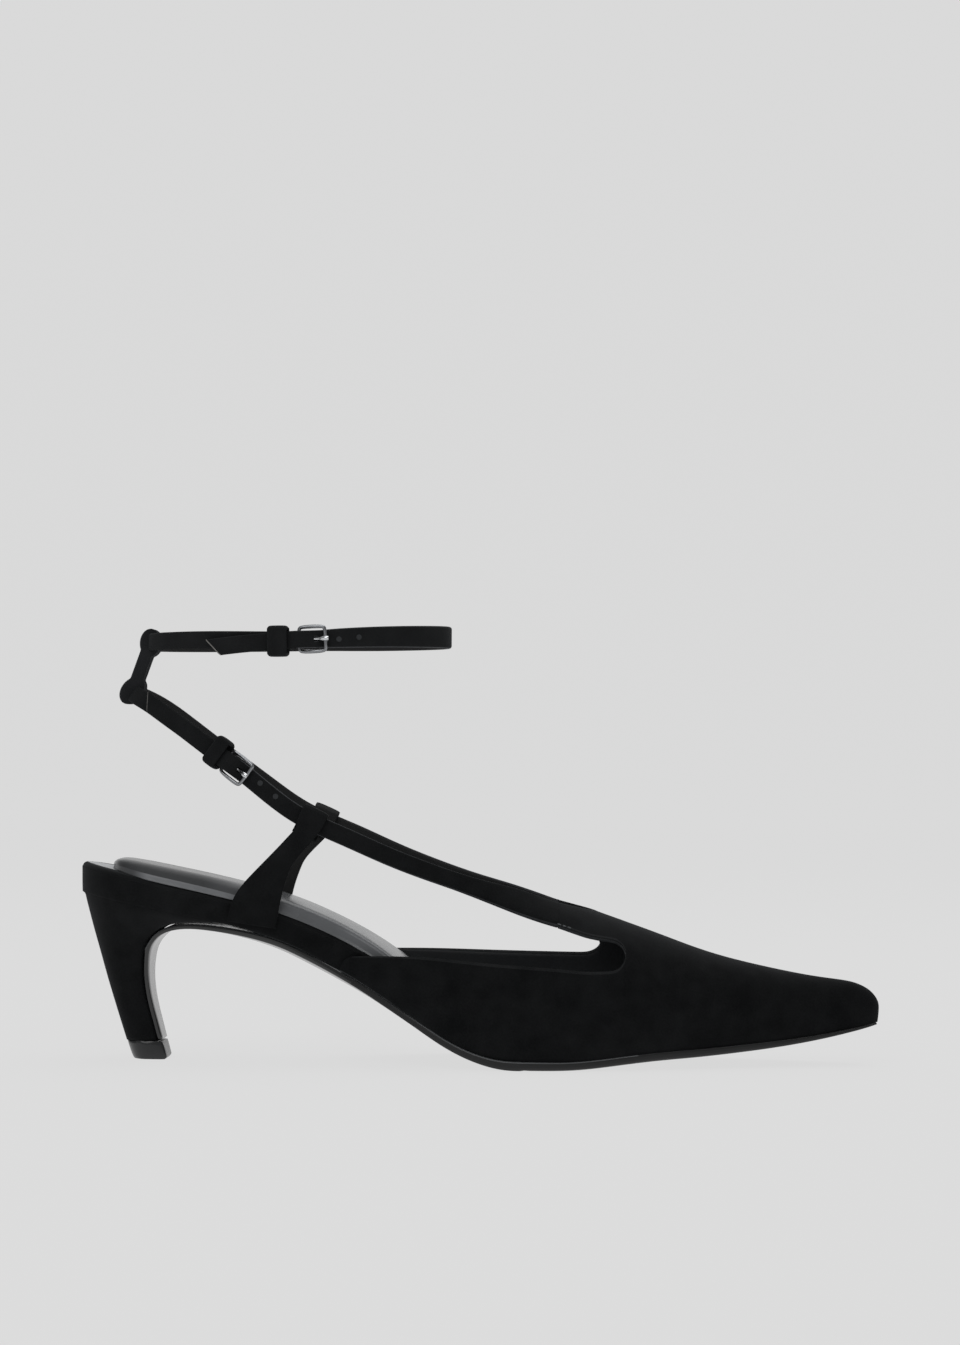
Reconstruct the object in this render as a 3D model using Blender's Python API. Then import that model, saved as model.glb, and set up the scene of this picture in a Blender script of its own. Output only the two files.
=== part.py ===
"""Cut-out slingback pump, right foot, with an ankle strap. Sizes are millimetres.

+X points to the toe, +Z up, -Y is the outer side. The sole's path, the plan
outline and the sections of the last are short tables read by smooth curves.
"""

import math

import bmesh
import bpy
import numpy as np
from mathutils import Vector

# Driving dimensions
MM = 0.001
GAP = 0.3
TOE_X, HEEL_X = 130.7, -129.8
NOSE_X, SEAT_X, NOSE_PUSH = 119.0, -106.0, 0.6
WALL = 1.6
ROOT_X = 26.0
WING_END_X = -43.5
CUTOUT_FRONT, CUTOUT_ROUND = {-1: 47.8, 1: 40.0}, {-1: 4.6, 1: 6.0}
THROAT_FRONT, THROAT_ROUND = 40.0, 6.0
SIDE_POWER, TOP_POWER = 0.85, 0.95
SEAT_Z, SEAT_SLOPE, LIP_X = 54.6, 0.19, -81.0
FOOTBED_TOE, INSOLE_BACK, INSOLE_FRONT = 122.0, -119.5, 98.0
INSOLE_INSET, INSOLE_ROUND = 1.1, 0.5
TIP_TOP = 5.7
STRAP_THICK, STRAP_HALF, ANKLE_HALF = 1.8, 2.9, 2.8
FOLD_THICK = 0.8
SLING_MID_X, SLING_LONG, SLING_HALF = -55.0, 59.0, 28.0
ANKLE_MID_X, ANKLE_LONG, ANKLE_WIDE, ANKLE_Z = -59.2, 49.5, 28.6, 137.0
ANKLE_GAIN, GAIN_FROM = 0.8, 0.2
ANKLE_RISE, ANKLE_DIP, DIP_X, DIP_LONG = 0.024, 0.8, -62.0, 21.0
STAY_X, STAY_HALF, STAY_THICK = -53.4, 4.2, 1.3
TAB_HALF, TAB_THICK, TAB_BOW, TAB_LAYER = 4.0, 1.8, 0.65, 1.05
TAIL_SLANT = 0.8
FLARE = 36.0
BAR_R, PRONG_R, EYE_R, HOLE_R = 0.7, 0.42, 1.34, 0.8
FRAME_LONG, FRAME_HALF, KEEPER_WALL = 8.4, 4.0, 1.45
REAR_BAR_N, FRONT_BAR_N = 0.2, 1.95
SLING_BAR_X, SLING_TAIL_X = -79.5, -106.4
ANKLE_BAR_DEG, ANKLE_TAIL_DEG = -88.0, -120.5
ANKLE_DROOP = 2.9
ANKLE_TURNS = np.linspace(-132, 292, 260)
SUEDE = ("black_suede", (0.012, 0.012, 0.013), 0.95, 0.0)
SOLE = ("black_sole_leather", (0.02, 0.02, 0.021), 0.25, 0.0)
LINING = ("grey_lining_leather", (0.05, 0.05, 0.052), 0.45, 0.0)
TIP = ("heel_tip_rubber", (0.04, 0.04, 0.042), 0.35, 0.0)
STEEL = ("polished_steel", (0.6, 0.6, 0.62), 0.15, 1.0)


def smooth(keys, values, at):
    """A curve through the rows that never overshoots them."""
    step, rise = np.diff(keys), np.diff(values) / np.diff(keys)
    slope = np.concatenate(([rise[0]], np.zeros(len(keys) - 2), [rise[-1]]))
    before, after = rise[:-1], rise[1:]
    same = before * after > 0
    heavy, light = 2 * step[1:] + step[:-1], step[1:] + 2 * step[:-1]
    blend = heavy / np.where(same, before, 1) + light / np.where(same, after, 1)
    slope[1:-1][same] = ((heavy + light) / blend)[same]
    i = np.clip(np.searchsorted(keys, at) - 1, 0, len(step) - 1)
    t = (at - keys[i]) / step[i]
    return (values[i] * (1 + 2 * t) * (1 - t) ** 2 + values[i + 1] * t * t * (3 - 2 * t)
            + step[i] * (slope[i] * t * (1 - t) ** 2 - slope[i + 1] * t * t * (1 - t)))


class Table:
    """Rows under named columns; the first column is the key."""

    def __init__(self, names, *rows):
        cells = np.array(rows, float)
        self.keys = cells[:, 0]
        self.columns = dict(zip(names.split(), cells.T))

    def at(self, name, key):
        return smooth(self.keys, self.columns[name], np.clip(key, self.keys[0], self.keys[-1]))


# Plan of the last: middle line and half width, before the round ends
PLAN = Table("x middle half",
             (-131, 0, 25), (-105, 0, 25), (-90, -0.5, 24.7), (-80, -0.9, 23.7), (-65, -1.4, 22),
             (-50, -1.9, 22.1), (-40, -2.3, 23.3), (-20, -2.4, 28.2), (0, -1.6, 33.2), (20, -0.4, 35.2),
             (40, 0.5, 32.9), (55, 1.1, 29.1), (85, 2.4, 19.4), (112, 3.2, 10.4), (120, 3.5, 8), (131, 4, 7))

# Outsole from the foot of the heel flap to the toe: path, half width, thickness, crown of the underside
PATH = Table("s x z half thick crown",
             (0, -102.4, 6.4, 7.2, 1.5, 0), (1, -104.2, 13, 7.6, 1.5, 0), (2, -105.9, 19.5, 8.4, 1.5, 0),
             (3, -107, 27.5, 9.8, 1.5, 0), (4, -106.5, 35, 12.5, 1.5, 0), (5, -103.9, 39.6, 15.5, 1.5, 0),
             (6, -99.5, 42.3, 17.5, 1.5, 0), (7, -93, 43.2, 18.8, 1.6, 0.3), (8, -85, 42.6, 19.4, 1.8, 0.8),
             (9, -74, 40.8, 19, 2, 1.6), (10, -64, 38, 18.8, 2.2, 2.2), (11, -54.9, 33.9, 19.2, 2.2, 2.5),
             (12, -45.8, 29.3, 20.3, 2.2, 2.5), (13, -36.6, 24.1, 22.4, 2.2, 2.2),
             (14, -27.4, 18.3, 25.4, 2.2, 1.8), (15, -18.3, 12.5, 28.8, 2.3, 1.2),
             (16, -9.3, 6.7, 31.6, 2.4, 0.5), (17, -0.3, 2.6, 33.8, 2.6, 0.1),
             (18, 10, 0, 35.5, 3, 0), (19, 20, 0, 35.9, 2.9, 0), (20, 30, 0, 35.2, 2.8, 0),
             (21, 44.2, 1.4, 32.4, 2.8, 0), (22, 57.6, 2.9, 28.9, 2.8, 0), (23, 71, 3.8, 24.7, 2.7, 0),
             (24, 84.7, 5.1, 20.2, 2.5, 0), (25, 98.4, 6.7, 15.6, 2.2, 0), (26, 112.2, 9, 11, 1.6, 0),
             (27, 122, 11.2, 8.4, 1.2, 0), (28, 130.4, 13.3, 7.6, 0.8, 0))

# Sections of the last: top of the instep, its offset to the inner side, swell of the walls
SECTION = Table("x crest ridge bulge",
                (-44, 78, 4, 0.6), (0, 63, 4, 2), (20, 55.8, 3.5, 2.2), (39.6, 49, 3, 2), (57.9, 42.6, 2, 1.8),
                (76.3, 36, 1, 1.5), (94.6, 31.6, 0.5, 1.2), (112.9, 28.3, 0, 1), (131, 26.6, 0, 0.8))

# Heights of the wing toplines and of the strap edges, all as seen from the side
EDGES = Table("x outer inner low high",
              (-43.5, 31.8, 32, 62, 70), (-42, 34.4, 34.4, 62, 70), (-39, 35.3, 35.5, 61, 69),
              (-22.6, 35.7, 35.5, 58, 65), (7.8, 33.6, 34.7, 50.8, 58), (26, 32.3, 34.4, 45.9, 52.5),
              (36.3, 31.4, 34.4, 42.5, 50), (48, 31.6, 34.4, 40.6, 47))
CUTOUT_MID = {-1: 36.7, 1: 38.2}

# Footbed: height of the rim, and how far it stands in where the upper wraps it
RIM = Table("x z inset",
            (-131, 64.7, 0), (-119.3, 62.2, 0), (-104, 58.5, 0), (-89.4, 55.4, 0), (-78.2, 52.8, 0),
            (-63.2, 48.8, 0), (-53.6, 45.1, 0), (-47.5, 42.4, 2.25), (-43.5, 40.6, 2.25), (-32.6, 34.6, 2.25),
            (-20, 25.6, 2.25), (-10, 17.2, 2.25), (0, 11.2, 2.25), (10, 7.8, 2.25), (20, 6.9, 2.25),
            (44, 8.2, 2.25), (84, 11.5, 2.25), (131, 18, 2.25))

# Insole pad: height of its side, of the sloping welt at its foot, and of its crown
PAD = Table("x side welt rise",
            (-120, 2.9, 1.2, 0.6), (-110, 3.5, 1.4, 0.7), (-92, 3.9, 1.4, 0.7), (-80, 4.05, 1.3, 0.7),
            (-56, 4.35, 0.6, 0.7), (-36, 4.5, 0.4, 0.6), (-18, 4.2, 0.4, 0.5), (8, 3, 0.4, 0.5),
            (40, 1.9, 0.3, 0.4), (98, 1.3, 0.3, 0.3))

# Heel from tip to seat: back and front of each section, and its half breadth
HEEL = Table("s back_x back_z front_x front_z half",
             (0, -114.9, 6, -104.2, 6, 7.3), (1, -117, 12.5, -106, 12.8, 7.7),
             (2, -119.2, 19.5, -107.8, 19.5, 8.5), (3, -121.5, 27, -108.9, 27.2, 9.9),
             (4, -123.7, 35, -108.4, 35.4, 12.6), (5, -125.6, 41.5, -105.6, 40.6, 16),
             (6, -127.1, 47, -100.6, 43.9, 19.3), (7, -128.2, 51, -94, 45.1, 22),
             (8, -128.8, 53.2, -87.5, 45.1, 23.6), (9, -129.1, 54.3, -81, 44.95, 24.4))

# Straps: the sling from the back forward, y counted from the middle plane
SLING = Table("x y z pitch roll",
              (-115, 0, 119.8, 37, 0), (-107, 14, 115.9, 37, 0), (-96.3, 20.4, 108.3, 37, 0),
              (-86.8, 24, 101.2, 37, 0), (-75.1, 26.6, 92.7, 37, 0), (-59.8, 28, 81.6, 35, 0),
              (-53.5, 28, 78.3, 29, 2), (-43.8, 27.6, 74.2, 24, 6), (-24.7, 25.4, 65.9, 21, 14),
              (-3.3, 21.8, 58.3, 19, 26), (10.5, 18.6, 53.8, 18, 40))

# The buckle pulls the near side of the sling up; the far side hangs a little lower
SAG = Table("x near far", (-115, 0, 0), (-106, 0, 0), (-92, 0.8, -0.5), (-79, 1, -0.8), (-66, 0.6, -0.7),
            (-54, 0, -0.3), (-40, 0, 0), (10.5, 0, 0))

# Height of a tail above the strap it lies on, along the strap from the buckle's rear bar
TAIL = Table("s n", (-12, 0), (-8.4, 0), (-4, 1.5), (0, 3.15), (1.8, 3), (4.2, 2.2), (9, 2.15), (60, 2.15))
FOLD = ((9, 0, 1.8), (6.5, -0.2, 1.5), (4, -0.75, 0.9), (2, -1.05, 0.8))

# Side stays: x, distance outside the footbed's edge, z, half width
STAY = Table("s x out z half",
             (0, -72.1, 1.15, 44.9, 7.8), (1, -71.5, 1.15, 48.5, 7.8), (2, -70.2, 1.3, 52.5, 7.4),
             (3, -66.2, 2.6, 60, 5.2), (4, -61.3, 4.4, 67.5, 3.3))

# The back tab's loop round a strap: out of the strap and across it
LOOP = ((-1.8, 3.9), (-2.3, 2.6), (-2.3, 0), (-2.3, -2.4), (-2.15, -3.3), (-1.3, -4.2),
        (0, -4.4), (1.3, -4.2), (2.15, -3.3), (2.3, -2.4), (2.3, 0), (2.3, 2.6), (1.8, 3.9))

# A prong from its eye to its tip: along the strap, out of it, and its radius
PRONG = ((-1.6, 1.5, 0.42), (-4, 1.4, 0.42), (-6.1, 2.15, 0.52), (-7.3, 3, 0.78), (-8.4, 3.75, 0.92),
         (-9.4, 3.85, 0.7))

ACROSS = ((-1, 0.5), (-0.82, 1), (0, 1), (0.82, 1), (1, 0.5))


def ends(x, toe=TOE_X, heel=HEEL_X):
    """1 along the shoe, falling to 0 round the toe and round the seat."""
    nose = np.clip((x - NOSE_X) / (toe - NOSE_X), 0, 1)
    seat = np.clip((SEAT_X - x) / (SEAT_X - heel), 0, 1)
    return math.sqrt(max(0.0, 1 - max(nose, seat) ** 2))


def outline(x, inset=0.0):
    """Y of the outer and inner edge of the last."""
    half = (PLAN.at("half", x) - inset) * ends(x, TOE_X - inset, HEEL_X + inset)
    return PLAN.at("middle", x) - half, PLAN.at("middle", x) + half


def sole_line():
    """Stations of the outsole: key, underside point, topside point, both in the XZ plane."""
    keys = np.concatenate((np.linspace(0, 27, 46), 27 + 0.985 * np.sin(np.linspace(0, math.pi / 2, 6)[1:])))
    under = np.stack([PATH.at("x", keys), PATH.at("z", keys)], 1)
    run = np.stack([PATH.at("x", keys + 0.02) - PATH.at("x", keys - 0.02),
                    PATH.at("z", keys + 0.02) - PATH.at("z", keys - 0.02)], 1)
    run /= np.linalg.norm(run, axis=1)[:, None]
    over = under + np.stack([-run[:, 1], run[:, 0]], 1) * PATH.at("thick", keys)[:, None]
    return keys, under, over


SOLE_KEYS, SOLE_UNDER, SOLE_OVER = sole_line()
SHANK = SOLE_OVER[:, 0] > -92
SHANK_X, SHANK_Z = SOLE_OVER[SHANK & (SOLE_KEYS > 7)].T


def sole_top(x):
    """Height of the sole's upper face at its edge."""
    return float(np.interp(x, SHANK_X, SHANK_Z))


def sole_at(name, x):
    """A column of the sole's path at a place ahead of the heel."""
    return float(np.interp(x, SOLE_UNDER[SOLE_KEYS > 7, 0], PATH.at(name, SOLE_KEYS[SOLE_KEYS > 7])))


def footbed_bottom(x):
    """Edge height and crown of the footbed's underside: flat over the heel, then as the sole."""
    blend = np.clip((x - LIP_X) / 10, 0, 1)
    blend = blend * blend * (3 - 2 * blend)
    seat = SEAT_Z - SEAT_SLOPE * (x + 130)
    return seat * (1 - blend) + (sole_top(max(x, LIP_X)) + GAP + 0.1) * blend, sole_at("crown", x) * blend


def material(spec):
    name, color, roughness, metallic = spec
    found = bpy.data.materials.get(name)
    if found:
        return found
    made = bpy.data.materials.new(name)
    made.use_nodes = True
    shader = made.node_tree.nodes["Principled BSDF"]
    shader.inputs["Base Color"].default_value = (*color, 1)
    shader.inputs["Roughness"].default_value = roughness
    shader.inputs["Metallic"].default_value = metallic
    return made


def place(name, bm, spec):
    bmesh.ops.triangulate(bm, faces=[f for f in bm.faces if len(f.verts) > 4])
    bmesh.ops.recalc_face_normals(bm, faces=bm.faces)
    mesh = bpy.data.meshes.new(name)
    bm.to_mesh(mesh)
    bm.free()
    mesh.materials.append(material(spec))
    piece = bpy.data.objects.new(name, mesh)
    bpy.context.scene.collection.objects.link(piece)
    return piece


def solid(name, rings, spec, closed=False):
    """A closed body through rings of points; its ends are capped unless it closes on itself."""
    bm = bmesh.new()
    loops = [[bm.verts.new(Vector(p) * MM) for p in ring] for ring in rings]
    for a, b in zip(loops, loops[1:] + loops[:1] if closed else loops[1:]):
        for i in range(len(a)):
            bm.faces.new((a[i - 1], a[i], b[i], b[i - 1]))
    if not closed:
        bm.faces.new(loops[0])
        bm.faces.new(loops[-1])
    return place(name, bm, spec)


def cut(piece, tool):
    """Takes the tool out of the piece and drops the tool."""
    step = piece.modifiers.new("cut", "BOOLEAN")
    step.operation, step.solver, step.object = "DIFFERENCE", "EXACT", tool
    bpy.context.view_layer.update()
    seen = piece.evaluated_get(bpy.context.evaluated_depsgraph_get())
    mesh = bpy.data.meshes.new_from_object(seen)
    piece.modifiers.clear()
    piece.data = mesh
    bpy.data.objects.remove(tool)


def spread(count):
    return np.linspace(-1, 1, count)


def chebyshev(back, front, count):
    """Stations that crowd towards both round ends."""
    turn = np.linspace(0.5, count - 0.5, count) / count * math.pi
    return (back + front) / 2 - (front - back) / 2 * np.cos(turn)


def build_outsole():
    rings = []
    for key, under, over in zip(SOLE_KEYS, SOLE_UNDER, SOLE_OVER):
        shank = np.clip((under[0] + 99) / 20, 0, 1) if key > 6 else 0
        middle = PLAN.at("middle", under[0]) * shank
        half = PATH.at("half", key) * (ends(under[0], 131) if key > 20 else 1)
        crown = PATH.at("crown", key)
        low = [(under[0], middle + a * half, under[1] - crown * (1 - a * a)) for a in spread(7)]
        high = [(over[0], middle + a * half, over[1] - crown * (1 - a * a)) for a in -spread(7)]
        rings.append(low + high)
    return solid("outsole", rings, SOLE)


def heel_ring(back_x, back_z, front_x, front_z, half):
    """A D-shaped section: round at the back, nearly straight at the breast."""
    side = []
    for turn in np.linspace(0.16, 1, 7):
        share = 0.52 * (1 - math.cos(turn * math.pi / 2))
        side.append((share, math.sin(turn * math.pi / 2)))
    side += [(0.68, 1), (0.84, 0.985), (0.96, 0.96), (1, 0.9)]
    ring = [(0.0, 0.0)] + side + [(1, 0.45), (1, 0)]
    ring += [(s, -w) for s, w in reversed(side + [(1, 0.45)])]
    return [(back_x + (front_x - back_x) * s, half * w, back_z + (front_z - back_z) * s) for s, w in ring]


def build_heel():
    names = ("back_x", "back_z", "front_x", "front_z", "half")
    rings = [heel_ring(*(HEEL.at(n, s) for n in names)) for s in np.linspace(0, 9, 14)]
    return solid("heel", rings, SUEDE)


def build_heel_tip():
    rings = [heel_ring(-112.4, 0, -101.5, 0, 7.3), heel_ring(-113, 0.8, -100.9, 0.8, 7.7),
             heel_ring(-114.8, TIP_TOP, -102.2, TIP_TOP, 7.6)]
    return solid("heel_tip", rings, TIP)


def build_footbed():
    rings = []
    for x in chebyshev(HEEL_X, FOOTBED_TOE, 42):
        inset = RIM.at("inset", x)
        outer, inner = outline(x, inset)
        shrink = min(1.0, math.sqrt(max(0.02, 1 - max(0, (x - 108) / (FOOTBED_TOE - 108)) ** 2)))
        middle, half = (outer + inner) / 2, (inner - outer) / 2 * shrink
        (low, crown), high = footbed_bottom(x), RIM.at("z", x)
        wall = high - low
        on_sole = min(sole_at("half", x), half - 0.8)
        ring = [(x, middle - half + 0.5, low)]
        ring += [(x, middle + a * on_sole, low - crown * (1 - a * a)) for a in spread(7)]
        ring += [(x, middle + half - 0.5, low)]
        ring += [(x, middle + half, low + 0.3 * wall), (x, middle + half, high - 0.16 * wall)]
        ring += [(x, middle + a * (half - 0.9), high) for a in (1, 0, -1)]
        ring += [(x, middle - half, high - 0.16 * wall), (x, middle - half, low + 0.3 * wall)]
        rings.append(ring)
    return solid("footbed", rings, SUEDE)


def build_insole():
    rings = []
    for x in chebyshev(INSOLE_BACK, INSOLE_FRONT, 29):
        outer, inner = outline(x, INSOLE_INSET + RIM.at("inset", x))
        turn_in = min(1, math.sqrt(max(0, 1 - np.clip((-104 - x) / (-104 - INSOLE_BACK), 0, 1) ** 2)),
                      math.sqrt(max(0, 1 - np.clip((x - 82) / (INSOLE_FRONT - 82), 0, 1) ** 2)))
        room = math.sqrt(max(0.05, 1 - np.clip((SEAT_X - x) / (SEAT_X - HEEL_X), 0, 1) ** 2))
        middle, half = (outer + inner) / 2, (inner - outer) / 2 * min(1, turn_in / room)
        base = RIM.at("z", x) + GAP + 0.15
        swell = min(1, turn_in * 1.5) ** 0.6
        side, welt, rise = (PAD.at(name, x) * swell for name in ("side", "welt", "rise"))
        foot, top = max(half - welt, 0.8 * half), max(half - welt - 0.3, 0.7 * half)
        ring = [(x, middle + a * half, base) for a in (-1, 0, 1)] + [(x, middle + foot, base + welt)]
        ring += [(x, middle + a * top, base + side + rise * (1 - a * a) ** INSOLE_ROUND) for a in -spread(5)]
        rings.append(ring + [(x, middle - foot, base + welt)])
    return solid("insole", rings, LINING)


def lift(x, inset=0.0):
    """Feather height and crest height of the last at a section."""
    feather = sole_top(x) + GAP
    return feather, feather + (SECTION.at("crest", x) - inset - feather) * math.sqrt(ends(x, TOE_X - inset))


def arch(x, side, turn, inset=0.0):
    """A point of the last: turn is 0 at the feather edge and a right angle on the crest."""
    if x > NOSE_X:
        x = NOSE_X + (x - NOSE_X) * (TOE_X - inset - NOSE_X) / (TOE_X - NOSE_X)
    feather, crest = lift(x, inset)
    round_off = ends(x, TOE_X - inset)
    ridge = PLAN.at("middle", x) + SECTION.at("ridge", x) * round_off
    edge = outline(x, inset)[0 if side < 0 else 1]
    y = ridge + (edge - ridge) * max(0.0, math.cos(turn)) ** SIDE_POWER
    y += side * SECTION.at("bulge", x) * round_off * math.sin(2 * turn)
    z = feather + (crest - feather) * math.sin(turn) ** TOP_POWER
    nose = max(0.0, (x - NOSE_X) / (TOE_X - inset - NOSE_X))
    x += NOSE_PUSH * nose ** 2 * math.sin(math.pi * (z - feather) / (SECTION.at("crest", x) - feather))
    return np.array((x, y, z))


def turn_at(x, z):
    """Turn of the last's section at which it is z high."""
    feather, crest = lift(min(x, NOSE_X))
    share = np.clip((z - feather) / (crest - feather), 0.01, 1)
    return math.asin(share ** (1 / TOP_POWER))


def opened(x, front, rounding):
    """0 in front of an opening, 1 behind its round end."""
    depth = np.clip((front - x) / rounding, 0, 1)
    return math.sqrt(1 - (1 - depth) ** 2)


def lips(x, side):
    """Turns of the wing's top, the strap's lower edge and the strap's upper edge."""
    part = opened(x, CUTOUT_FRONT[side], CUTOUT_ROUND[side])
    front = turn_at(CUTOUT_FRONT[side], CUTOUT_MID[side])
    middle = turn_at(x, CUTOUT_MID[side]) if x < CUTOUT_FRONT[side] else front
    wing = turn_at(x, EDGES.at("outer" if side < 0 else "inner", x))
    low, high = turn_at(x, EDGES.at("low", x)), turn_at(x, EDGES.at("high", x))
    throat = opened(x, THROAT_FRONT, THROAT_ROUND)
    return (middle + (wing - middle) * part, middle + (low - middle) * part,
            math.pi / 2 + (high - math.pi / 2) * throat)


def upper_stations():
    curve = np.sin(np.linspace(0, math.pi / 2, 6))
    nose = np.append(curve[1:], 0.989)
    x = np.concatenate(([WING_END_X, -42.6, -41.4, -39.5], np.linspace(-36, ROOT_X, 9),
                        THROAT_FRONT - THROAT_ROUND * (1 - curve[:5]),
                        CUTOUT_FRONT[-1] - CUTOUT_ROUND[-1] * (1 - curve), np.linspace(53, NOSE_X, 9),
                        NOSE_X + (TOE_X - NOSE_X) * nose, [30.0, THROAT_FRONT]))
    return np.unique(np.round(x, 2))


def build_upper():
    """Outer skin of the last between the openings, drawn in by the wall to its inner skin."""
    bm = bmesh.new()
    skin = bm.verts.layers.float_vector.new("inner")
    for side in (-1, 1):
        for back, pick, cells in ((WING_END_X, 0, 5), (ROOT_X, 1, 5)):
            rows = []
            for x in upper_stations():
                if x < back - 0.01:
                    continue
                wing, low, high = lips(x, side)
                turns = np.linspace(0, wing, cells + 1) if pick == 0 else np.linspace(low, high, cells + 1)
                row = []
                for turn in turns:
                    vert = bm.verts.new(Vector(arch(x, side, turn)) * MM)
                    vert[skin] = Vector(arch(x, side, turn, WALL)) * MM
                    row.append(vert)
                rows.append(row)
            for a, b in zip(rows, rows[1:]):
                for i in range(cells):
                    bm.faces.new((a[i], a[i + 1], b[i + 1], b[i]))
    bmesh.ops.remove_doubles(bm, verts=bm.verts, dist=0.00002)
    bmesh.ops.recalc_face_normals(bm, faces=bm.faces)
    grown = bmesh.ops.extrude_face_region(bm, geom=bm.faces[:])
    for vert in grown["geom"]:
        if isinstance(vert, bmesh.types.BMVert):
            vert.co = vert[skin]
    return place("upper", bm, SUEDE)


def unit(vectors):
    return vectors / np.linalg.norm(vectors, axis=-1, keepdims=True)


class Track:
    """A strap's middle line with its width and outward directions, run along by distance."""

    def __init__(self, points, widths):
        self.points = np.array(points, float)
        run = unit(np.gradient(self.points, axis=0))
        widths = np.array(widths, float)
        self.widths = unit(widths - run * np.sum(widths * run, axis=1)[:, None])
        self.outs = np.cross(run, self.widths)
        self.length = np.concatenate(([0], np.cumsum(np.linalg.norm(np.diff(self.points, axis=0), axis=1))))

    def blend(self, rows, at):
        return np.stack([np.interp(at, self.length, rows[:, k]) for k in range(3)], -1)

    def frame(self, at):
        return self.blend(self.points, at), unit(self.blend(self.outs, at)), unit(self.blend(self.widths, at))

    def point(self, at, out=0.0, across=0.0):
        middle, n, w = self.frame(at)
        return middle + n * out + w * across

    def nearest(self, x, side):
        """Distance along the track at which it passes x on one side of the shoe."""
        fits = np.where(np.sign(self.points[:, 1]) == side)[0]
        return self.length[fits[np.argmin(np.abs(self.points[fits, 0] - x))]]


def lean(pitch, roll, side):
    """Width direction of a strap leaning forward by pitch and inward by roll, in degrees."""
    p, r = math.radians(pitch), math.radians(roll)
    return (math.sin(p) * math.cos(r), -side * math.sin(r), math.cos(p) * math.cos(r))


def strap_root(side):
    """Middle, width direction, half width and curl of the upper's strap root."""
    _, low, high = lips(ROOT_X, side)
    skins = [[arch(ROOT_X, side, t, inset) for t in (low, (low + high) / 2, high)] for inset in (0, WALL)]
    middle = np.mean([row[k] for row in skins for k in (0, 2)], axis=0)
    span = skins[0][2] - skins[0][0]
    curl = np.linalg.norm(np.mean([row[1] for row in skins], axis=0) - middle)
    return middle, unit(span), np.linalg.norm(span) / 2, curl


def sling_side(side):
    """Points and width directions of the sling from its root to the middle of the back."""
    root, span, _, _ = strap_root(side)
    points, widths, sag = [], [], "near" if side < 0 else "far"
    for x in np.linspace(ROOT_X - GAP, SLING_MID_X, 44)[:-1]:
        share = np.clip((x - 10.5) / (ROOT_X - 10.5), 0, 1)
        y, z = SLING.at("y", x), SLING.at("z", x) + SAG.at(sag, x)
        aim = np.array((x, side * y + (root[1] - side * 18.6) * share, z + (root[2] - 53.8) * share))
        points.append(aim)
        tilt = np.array(lean(SLING.at("pitch", x), SLING.at("roll", x), side))
        widths.append(tilt * (1 - share) + span * share)
    for turn in np.linspace(math.pi / 2, 0, 40):
        x = SLING_MID_X - SLING_LONG * math.cos(turn)
        points.append((x, side * SLING_HALF * math.sin(turn), SLING.at("z", x) + SAG.at(sag, x)))
        widths.append(lean(SLING.at("pitch", x), SLING.at("roll", x), side))
    return points, widths


def sling_track():
    inner, inner_widths = sling_side(1)
    outer, outer_widths = sling_side(-1)
    return Track(inner + outer[::-1][1:], inner_widths + outer_widths[::-1][1:])


def ankle_track():
    turns = np.radians(ANKLE_TURNS)
    x = ANKLE_MID_X + ANKLE_LONG * np.cos(turns)
    dip = ANKLE_DIP * np.exp(-((x - DIP_X) / DIP_LONG) ** 2) * np.clip(-np.sin(turns), 0, 1)
    points = np.stack([x, ANKLE_WIDE * np.sin(turns), ANKLE_Z + ANKLE_RISE * (x - ANKLE_MID_X) - dip], 1)
    return Track(points, [(0, 0, 1)] * len(points))


def band(name, points, widths, halves, thicks, spec, bows=None, butt=None, slant=0.0):
    """A strap of rounded section along points: its edges stand back by the bows, one end butts the
    upper's root, and the first end is cut aslant."""
    points, widths = np.array(points), np.array(widths)
    run = unit(np.gradient(points, axis=0))
    widths = unit(widths - run * np.sum(widths * run, axis=1)[:, None])
    outs = np.cross(run, widths)
    rings = []
    for p, w, n, half, thick, bow in zip(points, widths, outs, halves, thicks, bows or points * 0):
        ring = [p + w * half * a + n * thick / 2 * f - bow * a * a for a, f in ACROSS]
        ring += [p + w * half * a - n * thick / 2 * f - bow * a * a for a, f in reversed(ACROSS)]
        rings.append(ring)
    rings[0] = [p - run[0] * slant * np.dot(p - points[0], widths[0]) for p in rings[0]]
    if butt is not None:
        rings[butt] = [p + run[butt] * (ROOT_X - GAP - p[0]) / run[butt][0] for p in rings[butt]]
    return solid(name, rings, spec)


def fold_line(track, bar):
    """Points, width directions and thicknesses of a strap's end folded round the buckle's bar."""
    spots = list(FOLD)
    for turn in np.radians(np.linspace(-90, 90, 9)):
        spots.append((-EYE_R * math.cos(turn), REAR_BAR_N + EYE_R * math.sin(turn), FOLD_THICK))
    spots.append((1.8, REAR_BAR_N + EYE_R, FOLD_THICK))
    points = [track.point(bar - s, n) for s, n, _ in spots]
    return points, [track.frame(bar - s)[2] for s, _, _ in spots], [t for _, _, t in spots]


def tail_line(track, bar, stops, droop=0.0):
    """Points and width directions of a tail that runs under the front bar and over the rear one."""
    points = []
    for at in stops:
        sink = droop * np.clip((bar - at) / 30, 0, 1) ** 1.5
        points.append(track.point(at, TAIL.at("n", bar - at), -sink))
    return points, [track.frame(at)[2] for at in stops]


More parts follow.
